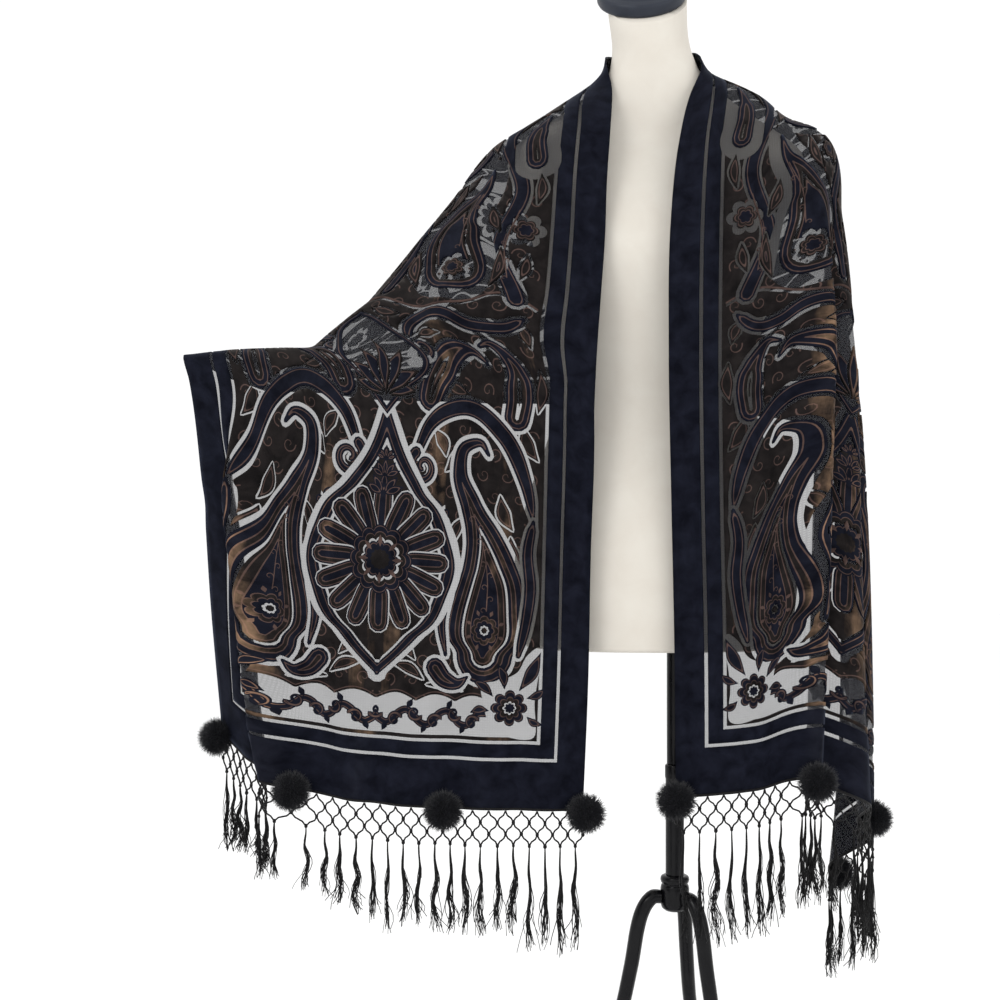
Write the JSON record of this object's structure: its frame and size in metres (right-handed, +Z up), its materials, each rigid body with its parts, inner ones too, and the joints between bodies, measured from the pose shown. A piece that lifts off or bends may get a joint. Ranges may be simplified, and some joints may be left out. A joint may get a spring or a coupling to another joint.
{
  "type": "evening stole on a dress form",
  "caption": "Burnout velvet evening stole with a knotted fringe and fur pompoms, worn open over a limbless dress form on a three-legged stand.",
  "frame": {"origin": "on the floor, below the middle of the object's box", "axes": "+Z up, +X to the viewer's right when facing the front of the form, -Y towards the viewer"},
  "size_m": [0.8796, 0.4502, 1.4713],
  "materials": {
    "velvet": "burnout velvet, blue-black pile on a sheer ground",
    "fringe": "soft twisted thread",
    "fur": "black fur",
    "form": "off-white, half gloss",
    "stand": "black gloss",
    "foot": "matte"
  },
  "bodies": {
    "root": {"stole": "velvet", "fringe_left": "fringe", "fringe_right": "fringe", "pompom_left_1": "fur", "pompom_left_2": "fur", "pompom_left_3": "fur", "pompom_left_4": "fur", "pompom_right_1": "fur", "pompom_right_2": "fur", "pompom_right_3": "fur", "pompom_right_4": "fur", "form_body": "form", "neck_cap": "stand", "pole": "stand", "sleeve": "stand", "hub": "stand", "leg_1": "stand", "leg_2": "stand", "leg_3": "stand", "foot_1": "foot", "foot_2": "foot", "foot_3": "foot"}
  },
  "joints": []
}
